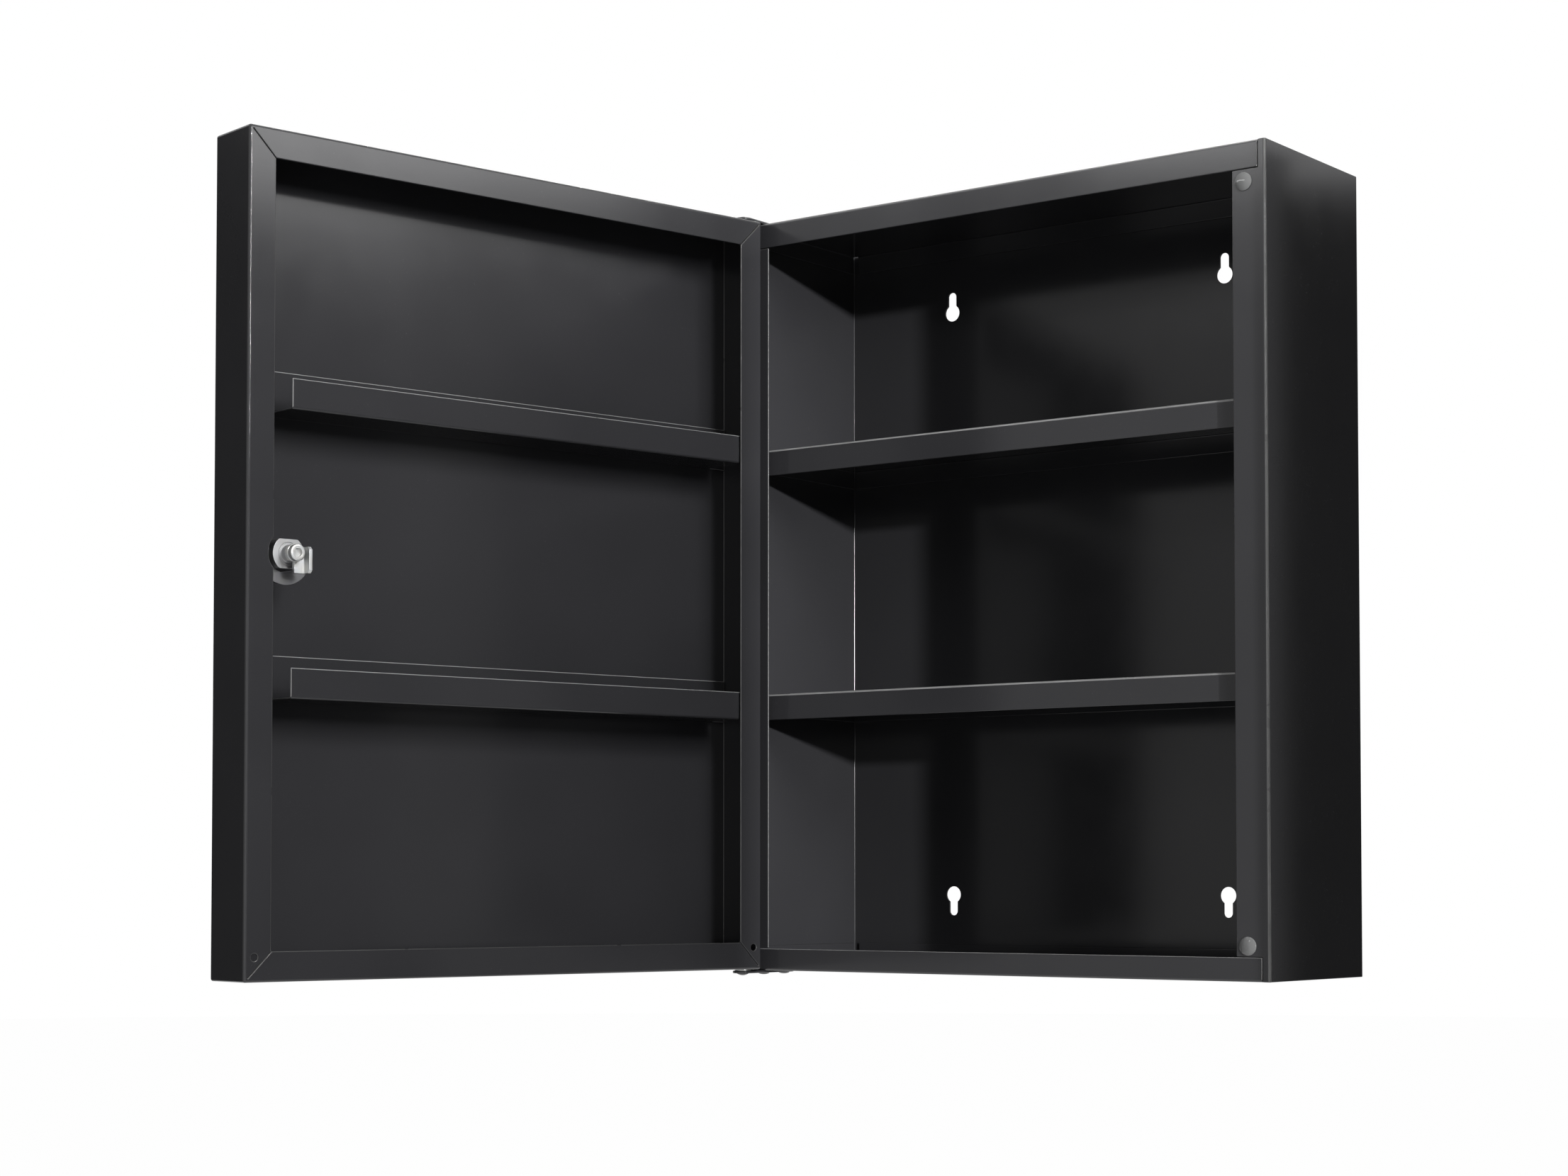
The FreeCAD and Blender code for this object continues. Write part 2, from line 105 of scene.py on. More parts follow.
# Studio, in metres; a card has its two feet, its top and its brightness
FLOOR_LEVEL = -0.9
FLOOR_RADIUS = 14.0
FLOOR_WHITE = 0.985
CARD_FOOT = -0.85
DARK, DIM, GREY = 0.04, 0.15, 0.45
CARDS = [
    ("right_flag", (0.764, -0.334), (1.25, 0.25), 0.49, DARK),
    ("far_flag", (1.25, 0.25), (1.19, 0.45), 0.575, DARK),
    ("hinge_flag", (1.19, 0.45), (1.0, 1.1), 0.63, DARK),
    ("back_flag", (1.0, 1.1), (0.3, 1.5), 0.55, DARK),
    ("side_flag", (0.27, -0.15), (0.27, 0.1), 0.27, DIM),
    ("key_flag", (1.6, -0.81), (1.6, -1.4), 0.42, DARK),
    ("left_flag", (-1.2, -0.4), (-1.25, -0.95), 0.53, DARK),
    ("front_flag", (-0.62, -1.2484), (-0.3, -1.4), 0.53, GREY),
    ("lip_flag", (-1.25, -0.95), (-0.62, -1.2484), 0.6, GREY),
]
KEY_WAY = Vector((0.931, -0.365, 0.082))
KEY_ANGLE = 1.2
KEY_AWAY = 2
STRIP_TALL = 0.4
STRIP_AWAY = 3.0
CAMERA_PLACE = (0.89649, -1.48257, -0.16995)
CAMERA_TILT = 2.23
CAMERA_TURN = 37.25
CAMERA_SHIFT = 0.1132
SENSOR_WIDTH = 36.0
VIEW_END = 100


# Sizes and colours that a user would change

class PaintSettings(bpy.types.PropertyGroup):
    """The black powder coat on the folded sheet."""
    colour: bpy.props.FloatVectorProperty(
        name="Colour", description="Base colour of the powder coat", subtype="COLOR", size=3,
        min=0, max=1, default=finishes["black_paint"][:3])
    roughness: bpy.props.FloatProperty(
        name="Roughness", description="Mean roughness of the coat", subtype="FACTOR", min=0, max=1, default=0.14)
    # The three edge settings below set how light the painted edge highlights are: a lighter coat on rounded edges and
    # bends standing in for the shine of the lights on them
    rack_edge_highlight: bpy.props.FloatProperty(
        name="Rack edge highlight", description="Lightness of the rubbed edges of racks, shelves and bottom",
        subtype="FACTOR", min=0, max=1, default=0.3)
    case_edge_highlight: bpy.props.FloatProperty(
        name="Case edge highlight", description="Lightness of the rubbed front edges of the case", subtype="FACTOR",
        min=0, max=1, default=0.16)
    door_edge_highlight: bpy.props.FloatProperty(
        name="Door edge highlight", description="Lightness of the rubbed edges of the door pan", subtype="FACTOR",
        min=0, max=1, default=0.06)
    peel_pitch: bpy.props.FloatProperty(
        name="Orange peel pitch", description="Width of one ripple of the coat", unit="LENGTH", default=2.4 * MM)
    peel_depth: bpy.props.FloatProperty(
        name="Orange peel depth", description="Height of the ripples", unit="LENGTH", default=0.005 * MM)


class SheetSettings(bpy.types.PropertyGroup):
    """Rounding that paint gives to the cut edges of the sheet."""
    edge_round: bpy.props.FloatProperty(
        name="Edge rounding", description="Width of the rounded cut edges", unit="LENGTH", default=0.45 * MM)
    edge_steps: bpy.props.IntProperty(
        name="Edge steps", description="Faces across a rounded edge", min=1, max=6, default=4)
    # How far back from the case's front the painted edge highlight reaches
    highlight_depth: bpy.props.FloatProperty(
        name="Highlight depth", description="How far behind the case's front its edges are rubbed", unit="LENGTH",
        default=10.0 * MM)


class HingeSettings(bpy.types.PropertyGroup):
    """The rivets that hold the hinge plates."""
    head_width: bpy.props.FloatProperty(
        name="Rivet head", description="Width of a rivet's head", unit="LENGTH", default=7.0 * MM)
    head_height: bpy.props.FloatProperty(
        name="Rivet head height", description="Height of a rivet's head", unit="LENGTH", default=1.2 * MM)
    shank_width: bpy.props.FloatProperty(
        name="Rivet shank", description="Width of a rivet's shank", unit="LENGTH", default=3.6 * MM)
    clinch_width: bpy.props.FloatProperty(
        name="Rivet clinch", description="Width of the clinched end inside the case", unit="LENGTH", default=5.6 * MM)


class StageSettings(bpy.types.PropertyGroup):
    """Studio light and camera."""
    key_strength: bpy.props.FloatProperty(
        name="Key", description="Strength of the key light", default=2.9)
    fill_strength: bpy.props.FloatProperty(
        name="Fill", description="Level of the all-round light on matt surfaces", default=0.28)
    soft_radiance: bpy.props.FloatProperty(
        name="Soft light", description="Brightness of the square light at the front right", default=17.0)
    strip_radiance: bpy.props.FloatProperty(
        name="Strip lights", description="Brightness of the strip lights as reflections show it", default=4.5)
    top_radiance: bpy.props.FloatProperty(
        name="Top light", description="Brightness of the square light above and behind", default=1.5)
    lens: bpy.props.FloatProperty(
        name="Lens", description="Focal length of the camera", subtype="DISTANCE_CAMERA", default=66.44)


# Shader helpers

class Wire:
    """One socket of a material's nodes. Maths on it adds Math nodes."""

    def __init__(self, tree, socket=None):
        self.tree = tree
        self.socket = socket

    def node(self, kind, settings=None, sockets=None, output=0):
        """Adds a node, gives it its settings and then its socket values or links, returns one output."""
        made = self.tree.nodes.new(kind)
        for key, value in (settings or {}).items():
            setattr(made, key, value)
        for key, value in (sockets or {}).items():
            if isinstance(value, Wire):
                self.tree.links.new(value.socket, made.inputs[key])
            else:
                made.inputs[key].default_value = value
        return Wire(self.tree, made.outputs[output])

    def maths(self, operation, first, second):
        return self.node("ShaderNodeMath", {"operation": operation}, {0: first, 1: second})

    def __add__(self, other):
        return self.maths("ADD", self, other)

    __radd__ = __add__

    def __sub__(self, other):
        return self.maths("SUBTRACT", self, other)

    def __rsub__(self, other):
        return self.maths("SUBTRACT", other, self)

    def __mul__(self, other):
        return self.maths("MULTIPLY", self, other)

    __rmul__ = __mul__

    def above(self, low, high):
        """0 below low, 1 above high, a smooth rise between."""
        settings = {"interpolation_type": "SMOOTHSTEP"}
        return self.node("ShaderNodeMapRange", settings, {"Value": self, "From Min": low, "From Max": high})


def blank(name):
    """A material with only its shader and output; returns it, a wire to start from and the shader."""
    material = bpy.data.materials.new(name)
    material.use_nodes = True
    tree = material.node_tree
    return material, Wire(tree), tree.nodes["Principled BSDF"]


def link(value, shader, key):
    value.tree.links.new(value.socket, shader.inputs[key])


def roughen(wire, shader, height, strength, distance):
    """Gives a shader a bump of the given height pattern."""
    sockets = {"Strength": strength, "Distance": distance, "Height": height}
    link(wire.node("ShaderNodeBump", None, sockets), shader, "Normal")


def mix_colours(wire, share, first, second):
    """Blends two colours by a share from 0 to 1."""
    settings = {"data_type": "RGBA"}
    return wire.node("ShaderNodeMix", settings, {"Factor": share, 6: first, 7: second}, output=2)


def noise(wire, place, scale, detail=2.0, roughness=0.5):
    sockets = {"Vector": place, "Scale": scale, "Detail": detail, "Roughness": roughness}
    return wire.node("ShaderNodeTexNoise", None, sockets)


def object_place(wire):
    return wire.node("ShaderNodeTexCoord", output="Object")


def tone(colour, factor):
    return [min(1.0, c * factor) for c in colour[:3]] + [1.0]


def powder_coat():
    """Black powder coat: slight orange peel, a little dust and uneven gloss."""
    paint = bpy.context.scene.cabinet_paint
    material, wire, shader = blank("slot_black_paint")
    place = object_place(wire)
    peel = noise(wire, place, scale=1 / paint.peel_pitch, roughness=0.45)
    grit = noise(wire, place, scale=4.5 / paint.peel_pitch, detail=1.0)
    flow = noise(wire, place, scale=34.0, detail=3.0, roughness=0.55)
    broad = noise(wire, place, scale=9.0)
    roughen(wire, shader, peel + 0.22 * grit + 0.5 * flow, 1.0, paint.peel_depth)
    dust = noise(wire, place, scale=900.0, detail=1.0).above(0.70, 0.80) * flow.above(0.42, 0.62)
    uneven = mix_colours(wire, broad.above(0.3, 0.7), tone(paint.colour, 0.94), tone(paint.colour, 1.06))
    link(mix_colours(wire, dust * 0.35, uneven, tone(paint.colour, 2.2)), shader, "Base Color")
    link(paint.roughness + 0.07 * (flow - 0.5) + 0.06 * (grit - 0.5) + 0.10 * dust, shader, "Roughness")
    return material


def painted_edge_highlight(name, lit):
    """A lighter coat on rounded edges and bends: a painted highlight standing in for the shine of the lights on them,
    mottled at random.
    """
    material, wire, shader = blank(name)
    highlight_mottle = noise(wire, object_place(wire), scale=60.0, detail=3.0, roughness=0.6)
    white = (1.0, 1.0, 1.0)
    link(mix_colours(wire, highlight_mottle.above(0.3, 0.7), tone(white, 0.8 * lit), tone(white, lit)), shader, "Base Color")
    link(0.22 + 0.16 * highlight_mottle, shader, "Roughness")
    return material


def plated(slot, roughness, variation, tint):
    """Plated metal with fine drawn scratches, a cloudy tint and uneven gloss."""
    material, wire, shader = blank("slot_" + slot)
    place = object_place(wire)
    stretched = wire.node("ShaderNodeMapping", None, {"Vector": place, "Scale": (1.0, 1.0, 9.0)})
    scratches = noise(wire, stretched, scale=520.0, detail=3.0, roughness=0.6)
    cloud = noise(wire, place, scale=160.0)
    colour = finishes[slot]
    tinted = [c * t for c, t in zip(colour, tint)] + [1.0]
    link(mix_colours(wire, cloud.above(0.35, 0.65), tone(colour, 1.0), tinted), shader, "Base Color")
    link(roughness + variation * (scratches - 0.5) + 0.5 * variation * (cloud - 0.5), shader, "Roughness")
    roughen(wire, shader, scratches, 0.4, 0.006 * MM)
    shader.inputs["Metallic"].default_value = 1.0
    return material


def silvered_glass():
    """Mirror silver behind clear glass, with faint wiping marks."""
    material, wire, shader = blank("slot_mirror")
    wipes = noise(wire, object_place(wire), scale=14.0, detail=4.0, roughness=0.6)
    colour = finishes["mirror"]
    link(mix_colours(wire, wipes.above(0.3, 0.8), tone(colour, 1.0), tone(colour, 0.97)), shader, "Base Color")
    link(0.015 + 0.03 * wipes.above(0.5, 0.75), shader, "Roughness")
    shader.inputs["Metallic"].default_value = 1.0
    return material


def glass_edge():
    """The ground and green-tinted edge of the mirror's glass."""
    material, wire, shader = blank("ground_glass_edge")
    grain = noise(wire, object_place(wire), scale=700.0, roughness=0.6)
    link(mix_colours(wire, grain, (0.30, 0.42, 0.38, 1.0), (0.46, 0.58, 0.54, 1.0)), shader, "Base Color")
    link(0.18 + 0.2 * grain, shader, "Roughness")
    roughen(wire, shader, grain, 0.5, 0.01 * MM)
    return material


def foam():
    """Closed-cell foam tape."""
    material, wire, shader = blank("slot_foam_tape")
    cells = wire.node("ShaderNodeTexVoronoi", None, {"Vector": object_place(wire), "Scale": 2600.0})
    colour = finishes["foam_tape"]
    link(mix_colours(wire, cells.above(0.1, 0.6), tone(colour, 0.6), tone(colour, 1.2)), shader, "Base Color")
    link(0.85 - 0.1 * cells, shader, "Roughness")
    roughen(wire, shader, cells, 0.7, 0.06 * MM)
    return material


def clear_polyurethane():
    """Clear soft plastic of the bumpers, with a slightly wavy skin."""
    material, wire, shader = blank("slot_clear_bumper")
    waves = noise(wire, object_place(wire), scale=300.0)
    link(0.06 + 0.08 * waves, shader, "Roughness")
    roughen(wire, shader, waves, 0.5, 0.02 * MM)
    colour = finishes["clear_bumper"]
    link(mix_colours(wire, waves, tone(colour, 0.94), tone(colour, 1.06)), shader, "Base Color")
    shader.inputs["Transmission Weight"].default_value = 0.8
    shader.inputs["IOR"].default_value = 1.48
    return material


# Roughness, its variation and the tint of each plated metal
platings = {
    "zinc_steel": (0.34, 0.16, (0.96, 0.98, 1.03)),
    "dark_steel": (0.4, 0.14, (0.9, 0.9, 0.95)),
    "lock_chrome": (0.36, 0.12, (0.95, 0.96, 0.98)),
    "wafer_brass": (0.32, 0.14, (0.94, 0.92, 0.9)),
}
coats = {
    "black_paint": powder_coat,
    "mirror": silvered_glass,
    "foam_tape": foam,
    "clear_bumper": clear_polyurethane,
}


def finish_material(slot):
    """The one material of a record slot, made at its first use."""
    found = bpy.data.materials.get("slot_" + slot)
    if found:
        return found
    return plated(slot, *platings[slot]) if slot in platings else coats[slot]()


# Mesh helpers

def new_object(name, data):
    made = bpy.data.objects.new(name, data)
    bpy.context.scene.collection.objects.link(made)
    return made


def bake(piece):
    """Turns a piece's modifiers into its plain mesh."""
    bpy.context.view_layer.update()
    graph = bpy.context.evaluated_depsgraph_get()
    mesh = bpy.data.meshes.new_from_object(piece.evaluated_get(graph), depsgraph=graph)
    old = piece.data
    piece.modifiers.clear()
    piece.data = mesh
    mesh.name = piece.name
    bpy.data.meshes.remove(old)


def settle(piece, body, slot, replaced):
    """Gives a finished piece its slot's material if it has none, puts it on its body and hides the node that it
    stands for.
    """
    if not piece.data.materials:
        piece.data.materials.append(finish_material(slot))
    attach(piece, body)
    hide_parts(replaced)


def merged_copy(node, name):
    """A node's mesh with its triangles joined and its flat faces whole."""
    shape = bmesh.new()
    shape.from_mesh(nodes[node].data)
    bmesh.ops.remove_doubles(shape, verts=shape.verts, dist=0.001 * MM)
    bmesh.ops.dissolve_limit(shape, angle_limit=math.radians(FLAT_ANGLE), verts=shape.verts, edges=shape.edges)
    mesh = bpy.data.meshes.new(name)
    shape.to_mesh(mesh)
    shape.free()
    return new_object(name, mesh)


def rounded_copy(node, name, width, steps, edge=None, front=None):
    """A copy of a node with flat faces and rounded edges, which can have a material of their own."""
    piece = merged_copy(node, name)
    bevel = piece.modifiers.new("edges", "BEVEL")
    bevel.width = width
    bevel.segments = steps
    bevel.limit_method = "ANGLE"
    bevel.angle_limit = math.radians(EDGE_ANGLE)
    bevel.use_clamp_overlap = False
    bevel.miter_outer = "MITER_ARC"
    if edge:
        # The second material on the edge faces is a painted highlight
        piece.data.materials.append(finish_material(node_slots[node]))
        piece.data.materials.append(edge)
        bevel.material = 1
    for face in piece.data.polygons:
        face.use_smooth = True
    weighted = piece.modifiers.new("shading", "WEIGHTED_NORMAL")
    weighted.weight = 100
    weighted.keep_sharp = False
    bake(piece)
    if edge:
        place_edge(piece, front)
    return piece


def place_edge(piece, front):
    """Keeps the painted edge highlight off undersides, which stay in shade. With front given, it is on the bends and
    edges before front.
    """
    for face in piece.data.polygons:
        under = face.normal.z < UNDERSIDE
        if front is not None:
            bent = face.center.y < front and FRONT_BEND[0] < face.normal.y < FRONT_BEND[1]
            face.material_index = int(bent and not under)
        elif under:
            face.material_index = 0


def rounded_pieces(names, prefix, width, steps, edge=None, front=None):
    for node in names:
        piece = rounded_copy(node, prefix + node, width, steps, edge, front)
        settle(piece, nodes[node]["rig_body"], node_slots[node], node)


# Geometry Nodes helpers

class Tree:
    """A small geometry tree with named inputs, ended by Realize Instances and Set Material."""

    def __init__(self, name, inputs):
        self.group = bpy.data.node_groups.new(name, "GeometryNodeTree")
        self.group.interface.new_socket("Geometry", in_out="OUTPUT", socket_type="NodeSocketGeometry")
        self.group.interface.new_socket("Geometry", in_out="INPUT", socket_type="NodeSocketGeometry")
        for label in inputs:
            self.group.interface.new_socket(label, in_out="INPUT", socket_type="NodeSocketFloat")
        self.start = self.group.nodes.new("NodeGroupInput")

    def input(self, label):
        return self.start.outputs[label]

    def add(self, kind, settings=None, sockets=None):
        """Adds a node with its settings and its socket values or links, returns its outputs."""
        made = self.group.nodes.new(kind)
        for key, value in (settings or {}).items():
            setattr(made, key, value)
        for key, value in (sockets or {}).items():
            self.set(made.inputs[key], value)
        return made.outputs

    def set(self, socket, value):
        if isinstance(value, bpy.types.NodeSocket):
            self.group.links.new(value, socket)
        elif isinstance(value, list):
            for one in value:
                self.group.links.new(one, socket)
        else:
            socket.default_value = value

    def maths(self, operation, first, second):
        return self.add("ShaderNodeMath", {"operation": operation}, {0: first, 1: second})[0]

    def vector(self, x, y, z):
        return self.add("ShaderNodeCombineXYZ", None, {"X": x, "Y": y, "Z": z})[0]

    def place(self):
        """The three coordinates of a point."""
        position = self.add("GeometryNodeInputPosition")[0]
        return self.add("ShaderNodeSeparateXYZ", None, {0: position})

    def close(self, geometry, material):
        real = self.add("GeometryNodeRealizeInstances", None, {"Geometry": geometry})[0]
        painted = self.add("GeometryNodeSetMaterial", None, {"Geometry": real, "Material": material})[0]
        end = self.group.nodes.new("NodeGroupOutput")
        self.group.links.new(painted, end.inputs[0])


def grown(name, tree, points, values):
    """Runs a tree on a cloud of points and returns the plain mesh object."""
    mesh = bpy.data.meshes.new(name)
    mesh.from_pydata(points, [], [])
    piece = new_object(name, mesh)
    modifier = piece.modifiers.new("grow", "NODES")
    modifier.node_group = tree.group
    for item in tree.group.interface.items_tree:
        if item.item_type == "SOCKET" and item.in_out == "INPUT" and item.name in values:
            modifier[item.identifier] = values[item.name]
    bake(piece)
    for face in piece.data.polygons:
        face.use_smooth = True
    piece.data.set_sharp_from_angle(angle=math.radians(CREASE_ANGLE))
    return piece


# Operators, one for each group of pieces

class CABINET_OT_case(bpy.types.Operator):
    """Makes the painted case: wrap, top, bottom and shelves"""
    bl_idname = "cabinet.case"
    bl_label = "Painted case"

    def execute(self, context):
        sheet = context.scene.cabinet_sheet
        paint = context.scene.cabinet_paint
        rounding = ("painted_", sheet.edge_round, sheet.edge_steps)
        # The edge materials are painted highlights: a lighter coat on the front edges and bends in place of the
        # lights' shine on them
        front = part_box("case_wrap")[0].y + sheet.highlight_depth
        case_edge = painted_edge_highlight("painted_highlight_case_edge", paint.case_edge_highlight)
        rounded_pieces(["case_wrap", "top_tray"], *rounding, case_edge, front)
        shelf_edge = painted_edge_highlight("painted_highlight_shelf_edge", paint.rack_edge_highlight)
        rounded_pieces(["bottom_tray", "upper_shelf", "lower_shelf"], *rounding, shelf_edge, front)
        return {"FINISHED"}


class CABINET_OT_door(bpy.types.Operator):
    """Makes the painted door pan and its two racks"""
    bl_idname = "cabinet.door"
    bl_label = "Painted door"

    def execute(self, context):
        sheet = context.scene.cabinet_sheet
        paint = context.scene.cabinet_paint
        rounding = ("painted_", sheet.edge_round, sheet.edge_steps)
        # The edge materials are painted highlights: a lighter coat on the rounded edges in place of the lights' shine
        # on them
        pan_edge = painted_edge_highlight("painted_highlight_door_edge", paint.door_edge_highlight)
        rounded_pieces(["door_pan"], *rounding, pan_edge)
        racks = [rack + kind for rack in ("upper_rack", "lower_rack") for kind in ("", "_plate")]
        rack_edge = painted_edge_highlight("painted_highlight_rack_edge", paint.rack_edge_highlight)
        rounded_pieces(racks, *rounding, rack_edge)
        return {"FINISHED"}


class CABINET_OT_hinges(bpy.types.Operator):
    """Makes the hinge plates, pivots and washers, and sets a rivet at each rivet hole"""
    bl_idname = "cabinet.hinges"
    bl_label = "Hinges"

    def execute(self, context):
        sheet = context.scene.cabinet_sheet
        names = [end + kind for end in ("top_", "bottom_") for kind in ("hinge_plate", "hinge_pivot")]
        rounded_pieces(names, "painted_", sheet.edge_round, sheet.edge_steps)
        rounded_pieces(["top_hinge_washer", "bottom_hinge_washer"], "painted_", WASHER_EDGE, 2)
        self.rivets(context.scene.cabinet_hinge)
        return {"FINISHED"}

    def rivets(self, sizes):
        """Sets the four rivets on the plates, those under the bottom turned over."""
        low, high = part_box("hinge_rivets")
        plate_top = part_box("top_hinge_plate")[1].z
        case_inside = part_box("top_tray")[1].z - CASE_SHEET
        values = {
            "Head width": sizes.head_width,
            "Head height": sizes.head_height,
            "Shank width": sizes.shank_width,
            "Clinch width": sizes.clinch_width,
            "Grip": plate_top - case_inside,
        }
        x = (low.x + high.x) / 2
        half = sizes.head_width / 2
        points = [(x, y, end * plate_top) for end in (1, -1) for y in (low.y + half, high.y - half)]
        tree = Tree("rivet_tree", list(values))
        rivet = self.rivet(tree)
        under = tree.maths("LESS_THAN", tree.place()[2], 0.0)
        turned = tree.vector(tree.maths("MULTIPLY", under, math.pi), 0.0, 0.0)
        spots = tree.add("GeometryNodeMeshToPoints", None, {"Mesh": tree.input("Geometry")})[0]
        sockets = {"Points": spots, "Instance": rivet, "Rotation": turned}
        copies = tree.add("GeometryNodeInstanceOnPoints", None, sockets)[0]
        tree.close(copies, finish_material("black_paint"))
        piece = grown("hinge_rivet_set", tree, points, values)
        settle(piece, "case", "black_paint", "hinge_rivets")

    def rivet(self, tree):
        """One rivet, head upward: domed head, shank and clinched end."""
        head, shank, clinch = (tree.maths("MULTIPLY", tree.input(part + " width"), 0.5)
                               for part in ("Head", "Shank", "Clinch"))
        seat = tree.maths("MULTIPLY", tree.input("Grip"), -1.0)
        end = tree.maths("SUBTRACT", seat, CLINCH_HEIGHT)
        parts = [self.dome(tree, head, tree.input("Head height")),
                 self.bar(tree, shank, seat, 0.0),
                 self.bar(tree, clinch, end, seat)]
        return tree.add("GeometryNodeJoinGeometry", None, {"Geometry": parts})[0]

    def dome(self, tree, radius, tall):
        """The upper half of a flattened ball, closed by its pressed-flat lower half."""
        sockets = {"Segments": RIVET_SIDES, "Rings": RIVET_RINGS, "Radius": 1.0}
        ball = tree.add("GeometryNodeMeshUVSphere", None, sockets)[0]
        sockets = {"Geometry": ball, "Scale": tree.vector(radius, radius, tall)}
        sized = tree.add("GeometryNodeTransform", None, sockets)[0]
        x, y, z = tree.place()
        pressed = tree.vector(x, y, tree.maths("MAXIMUM", z, 0.0))
        return tree.add("GeometryNodeSetPosition", None, {"Geometry": sized, "Position": pressed})[0]

    def bar(self, tree, radius, low, high):
        """An upright round bar from one height to another."""
        sockets = {"Vertices": RIVET_SIDES, "Radius": radius, "Depth": tree.maths("SUBTRACT", high, low)}
        bar = tree.add("GeometryNodeMeshCylinder", None, sockets)[0]
        middle = tree.maths("MULTIPLY", tree.maths("ADD", low, high), 0.5)
        sockets = {"Geometry": bar, "Translation": tree.vector(0.0, 0.0, middle)}
        return tree.add("GeometryNodeTransform", None, sockets)[0]


class CABINET_OT_bumpers(bpy.types.Operator):
    """Makes the two clear bumpers on the right front flange"""
    bl_idname = "cabinet.bumpers"
    bl_label = "Clear bumpers"

    def execute(self, context):
        rounded_pieces(["upper_bumper", "lower_bumper"], "clear_", BUMPER_EDGE, 2)
        return {"FINISHED"}


class CABINET_OT_mirror(bpy.types.Operator):
    """Makes the mirror's glass with its ground edge, and its foam tape"""
    bl_idname = "cabinet.mirror"
    bl_label = "Mirror"

    def execute(self, context):
        pane = merged_copy("mirror_pane", "mirror_glass")
        pane.data.materials.append(finish_material("mirror"))
        pane.data.materials.append(glass_edge())
        for face in pane.data.polygons:
            face.material_index = 0 if face.normal.dot(door_front) > 0.5 else 1
        settle(pane, "door", "mirror", "mirror_pane")
        tape = rounded_copy("mirror_tape", "mirror_foam", TAPE_EDGE, 1)
        settle(tape, "door", "foam_tape", "mirror_tape")
        return {"FINISHED"}


class CABINET_OT_lock(bpy.types.Operator):
    """Makes the cam lock: barrel, nut, clip, core, cam and screw"""
    bl_idname = "cabinet.lock"
    bl_label = "Cam lock"

    def execute(self, context):
        names = ["lock_barrel", "lock_nut", "lock_clip", "lock_plug", "lock_cam", "cam_washer", "cam_screw"]
        rounded_pieces(names, "bright_", LOCK_EDGE, 2)
        wafers = rounded_copy("lock_wafers", "brass_wafers", WAFER_EDGE, 1)
        settle(wafers, "lock_core", "wafer_brass", "lock_wafers")
        return {"FINISHED"}


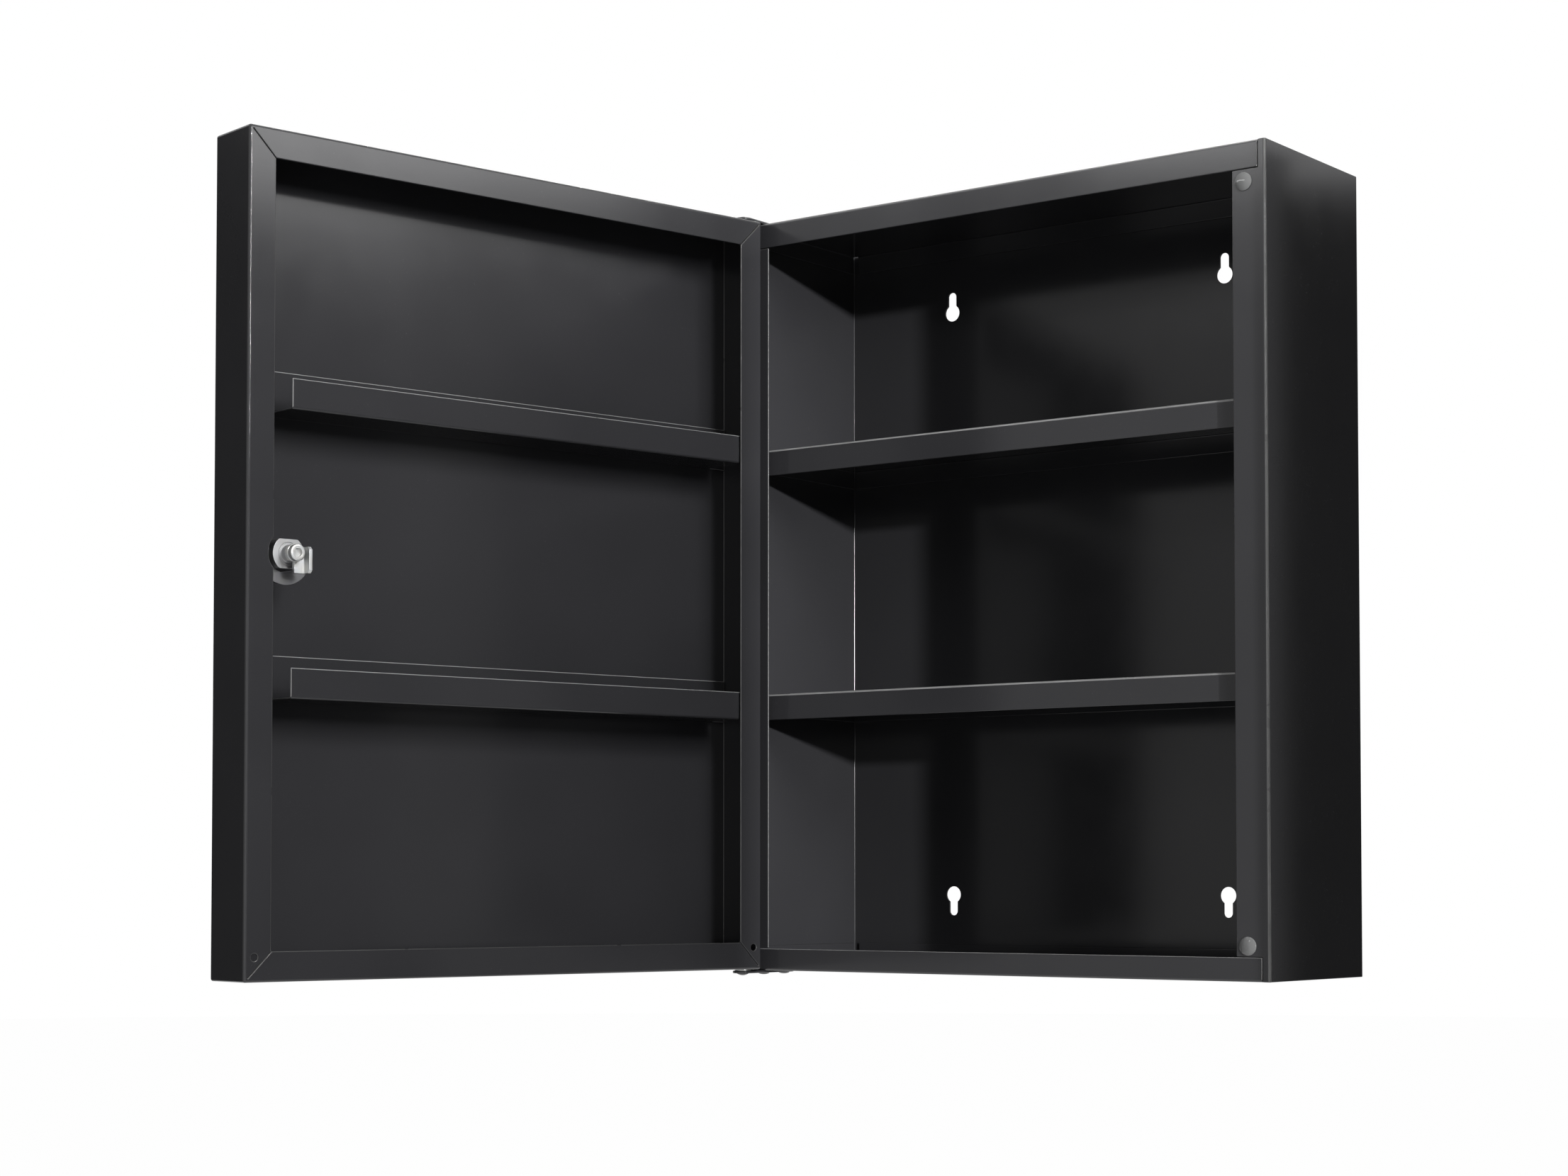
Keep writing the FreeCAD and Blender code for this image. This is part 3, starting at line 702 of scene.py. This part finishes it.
class CABINET_OT_stage(bpy.types.Operator):
    """Makes the floor, the white surroundings, the lights and the camera"""
    bl_idname = "cabinet.stage"
    bl_label = "Studio"

    def execute(self, context):
        stage = context.scene.cabinet_stage
        self.world(context.scene, stage)
        self.floor()
        for card in CARDS:
            self.card(*card)
        self.lights(stage)
        self.camera(context.scene, stage)
        context.scene.view_settings.view_transform = "Standard"
        return {"FINISHED"}

    def seen(self, wire):
        """1 for rays that should see the white surroundings, 0 for the light on matt surfaces."""
        outputs = wire.node("ShaderNodeLightPath").socket.node.outputs
        camera, glossy, through = (Wire(wire.tree, outputs["Is %s Ray" % kind])
                                   for kind in ("Camera", "Glossy", "Transmission"))
        return (camera + glossy + through).above(0.0, 1.0)

    def world(self, scene, stage):
        world = bpy.data.worlds.new("white_studio")
        world.use_nodes = True
        scene.world = world
        seen = self.seen(Wire(world.node_tree))
        background = world.node_tree.nodes["Background"]
        background.inputs["Color"].default_value = (1, 1, 1, 1)
        link(stage.fill_strength + (1.0 - stage.fill_strength) * seen, background, "Strength")

    def floor(self):
        shape = bmesh.new()
        bmesh.ops.create_circle(shape, cap_ends=True, segments=96, radius=FLOOR_RADIUS)
        mesh = bpy.data.meshes.new("pale_floor")
        shape.to_mesh(mesh)
        shape.free()
        mesh.transform(Matrix.Translation((0, 0, FLOOR_LEVEL)))
        floor = new_object("pale_floor", mesh)
        material, wire, shader = blank("pale_floor")
        shader.inputs["Base Color"].default_value = (0.86, 0.86, 0.86, 1)
        shader.inputs["Roughness"].default_value = 0.9
        shader.inputs["Specular IOR Level"].default_value = 0.0
        white = wire.node("ShaderNodeEmission", None, {"Strength": 1.0})
        sockets = {0: self.seen(wire) * FLOOR_WHITE, 1: Wire(wire.tree, shader.outputs[0]), 2: white}
        mixed = wire.node("ShaderNodeMixShader", None, sockets)
        link(mixed, wire.tree.nodes["Material Output"], "Surface")
        mesh.materials.append(material)

    def card(self, name, start, end, top, level):
        """An upright card beside the cabinet that shapes its reflections and that the camera does not see."""
        points = [(x, y, z) for x, y in (start, end) for z in (CARD_FOOT, top)]
        mesh = bpy.data.meshes.new(name)
        mesh.from_pydata(points, [], [(0, 2, 3, 1)])
        card = new_object(name, mesh)
        material, _, shader = blank(name)
        shader.inputs["Base Color"].default_value = (0.02, 0.02, 0.02, 1)
        shader.inputs["Specular IOR Level"].default_value = 0.0
        shader.inputs["Emission Color"].default_value = (1, 1, 1, 1)
        shader.inputs["Emission Strength"].default_value = level
        mesh.materials.append(material)
        card.visible_camera = False

    def lights(self, stage):
        key = bpy.data.lights.new("key", "SUN")
        key.energy = stage.key_strength
        key.angle = math.radians(KEY_ANGLE)
        lamp = new_object("key", key)
        self.direct_only(lamp)
        self.aim(lamp, KEY_WAY, KEY_AWAY)
        self.strip("back_strip", (0.919, 0.393, 0), low=1.01, ends=(-2.0, 0.16), radiance=stage.strip_radiance)
        self.strip("front_strip", (-0.57, -0.82, 0), low=0.975, ends=(-1.4, 1.4), radiance=stage.strip_radiance)
        self.softbox("front_box", (0.86, -0.28, 0.43), width=0.9, away=1.9, radiance=stage.soft_radiance)
        self.softbox("top_box", (-0.25, 0.4, 0.87), width=1.6, away=2.2, radiance=stage.top_radiance)

    def direct_only(self, lamp):
        """Lets a light count only on surfaces that are seen directly, not on those seen in reflections."""
        lamp.data.cycles.max_bounces = 0
        lamp.data.cycles.use_multiple_importance_sampling = False

    def aim(self, lamp, way, away):
        """Puts a light in the direction way, facing the cabinet."""
        lamp.location = way * away
        lamp.rotation_euler = way.to_track_quat("Z", "Y").to_euler()

    def strip(self, name, way, low, ends, radiance):
        """A long strip light that stands level in the direction way, from low upward, between two ends."""
        lamp = self.area(name, ends[1] - ends[0], STRIP_TALL, radiance)
        way = Vector(way).normalized()
        side = UP.cross(way)
        lamp.location = way * STRIP_AWAY + side * (ends[0] + ends[1]) / 2 + UP * (low + STRIP_TALL / 2)
        lamp.rotation_euler = Matrix((side, UP, way)).transposed().to_euler()

    def softbox(self, name, way, width, away, radiance):
        """A square light that faces the cabinet from the direction way."""
        lamp = self.area(name, width, width, radiance)
        self.direct_only(lamp)
        self.aim(lamp, Vector(way).normalized(), away)

    def area(self, name, width, tall, radiance):
        light = bpy.data.lights.new(name, "AREA")
        light.shape = "RECTANGLE"
        light.size = width
        light.size_y = tall
        light.energy = radiance * math.pi * width * tall
        return new_object(name, light)

    def camera(self, scene, stage):
        data = bpy.data.cameras.new("camera")
        data.lens = stage.lens
        data.sensor_width = SENSOR_WIDTH
        data.sensor_fit = "HORIZONTAL"
        data.shift_y = CAMERA_SHIFT
        data.clip_end = VIEW_END
        camera = new_object("camera", data)
        camera.location = CAMERA_PLACE
        camera.rotation_euler = (math.radians(90 + CAMERA_TILT), 0, math.radians(CAMERA_TURN))
        scene.camera = camera


class CABINET_PT_panel(bpy.types.Panel):
    """Lists the sizes, colours and operators of the cabinet"""
    bl_idname = "CABINET_PT_panel"
    bl_label = "Medicine cabinet"
    bl_space_type = "VIEW_3D"
    bl_region_type = "UI"
    bl_category = "Cabinet"

    def draw(self, context):
        for key, kind in groups.items():
            box = self.layout.box()
            for prop in kind.__annotations__:
                box.prop(getattr(context.scene, key), prop)
        for operator in operators:
            self.layout.operator(operator.bl_idname)


groups = {
    "cabinet_paint": PaintSettings,
    "cabinet_sheet": SheetSettings,
    "cabinet_hinge": HingeSettings,
    "cabinet_stage": StageSettings,
}
operators = [CABINET_OT_stage, CABINET_OT_case, CABINET_OT_door, CABINET_OT_hinges, CABINET_OT_bumpers,
             CABINET_OT_mirror, CABINET_OT_lock]


def register():
    for group in groups.values():
        bpy.utils.register_class(group)
    for key, group in groups.items():
        setattr(bpy.types.Scene, key, bpy.props.PointerProperty(type=group))
    for operator in operators:
        bpy.utils.register_class(operator)
    bpy.utils.register_class(CABINET_PT_panel)


def unregister():
    bpy.utils.unregister_class(CABINET_PT_panel)
    for operator in reversed(operators):
        bpy.utils.unregister_class(operator)
    for key in groups:
        delattr(bpy.types.Scene, key)
    for group in reversed(list(groups.values())):
        bpy.utils.unregister_class(group)


def main():
    register()
    bpy.ops.cabinet.stage()
    bpy.ops.cabinet.case()
    bpy.ops.cabinet.door()
    bpy.ops.cabinet.hinges()
    bpy.ops.cabinet.bumpers()
    bpy.ops.cabinet.mirror()
    bpy.ops.cabinet.lock()


if __name__ == "__main__":
    main()
